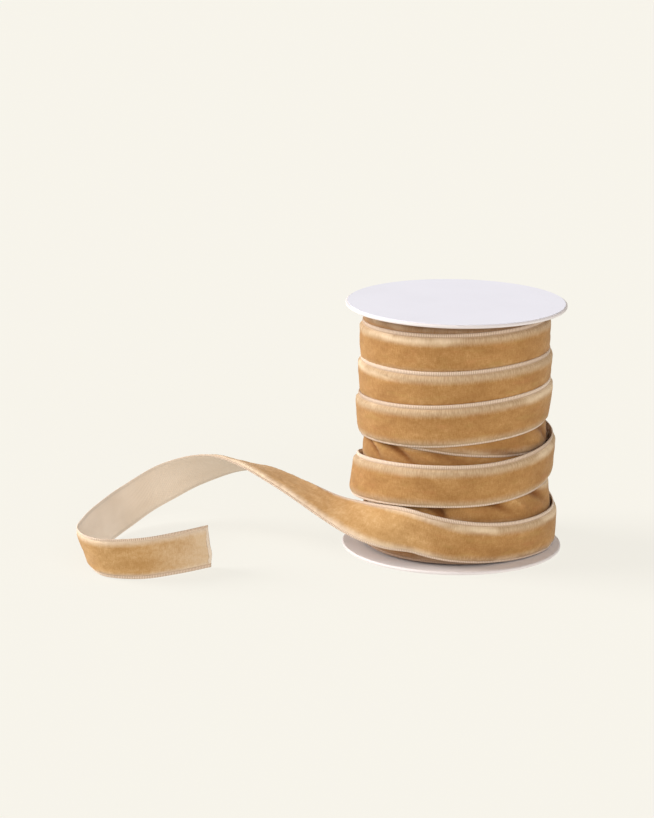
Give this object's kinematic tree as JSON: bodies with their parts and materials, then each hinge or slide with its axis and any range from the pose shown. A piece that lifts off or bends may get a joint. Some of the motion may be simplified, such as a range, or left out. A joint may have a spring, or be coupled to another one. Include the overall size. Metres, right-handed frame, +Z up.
{
  "type": "ribbon spool",
  "caption": "Flanged white spool wound with gold-beige velvet ribbon, standing on its lower flange, with the ribbon's free end twisting down into a curl on the table.",
  "frame": {"origin": "centre of the spindle bore at the underside of the bottom flange", "axes": "+Z up along the spool's axis, -Y towards the viewer, the free ribbon lies on the -X side"},
  "size_m": [0.175, 0.0953, 0.091],
  "materials": {
    "flange": "satin white moulding",
    "label": "smooth white paper",
    "core": "spiral-wound paperboard",
    "tape": "clear adhesive tape",
    "velvet": "gold-beige cut velvet with pale woven edges and a cream ribbed back"
  },
  "bodies": {
    "spool": {"bottom_flange": "flange", "top_flange": "flange", "core_tube": "core", "top_label": "label", "start_tape": "tape", "inner_winding": "velvet", "winding_turn_1": "velvet", "winding_turn_2": "velvet", "winding_turn_3": "velvet", "winding_turn_4": "velvet", "loose_turn": "velvet"},
    "tail": {"ribbon_tail": "velvet"}
  },
  "joints": [
    {"name": "tail_swing", "type": "hinge", "parent": "spool", "child": "tail", "pos_m": [-0.0151, -0.034, 0.0139], "axis": [0, 0, 1], "range_deg": [-8, 55]}
  ]
}
